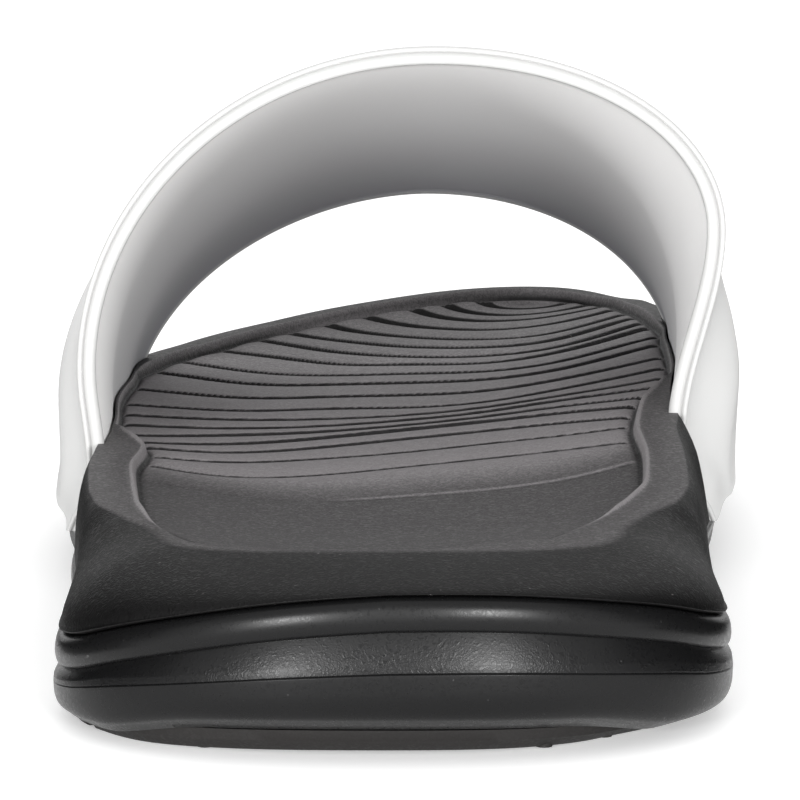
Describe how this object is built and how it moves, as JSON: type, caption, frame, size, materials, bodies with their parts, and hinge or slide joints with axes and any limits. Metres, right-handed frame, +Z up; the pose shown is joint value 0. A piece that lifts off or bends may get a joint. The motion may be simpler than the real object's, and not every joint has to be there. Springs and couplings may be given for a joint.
{
  "type": "slide sandal",
  "caption": "Left sport slide sandal with a thick moulded foam sole, a sunk foot bed, a lugged rubber tread and one wide padded strap over the instep.",
  "frame": {"origin": "on the floor, below the middle of the bounding box", "axes": "+Y from the heel to the toe, +X to the inner (big toe) side, +Z up"},
  "size_m": [0.1066, 0.29, 0.0783],
  "materials": {
    "outsole": "matt dark brown rubber",
    "midsole": "pebbled black moulded foam, half matt",
    "footbed": "matt charcoal moulded foam",
    "strap": "smooth white synthetic with a pale grey lining"
  },
  "bodies": {
    "root": {"outsole": "outsole", "midsole": "midsole", "footbed": "footbed", "strap": "strap"}
  },
  "joints": []
}
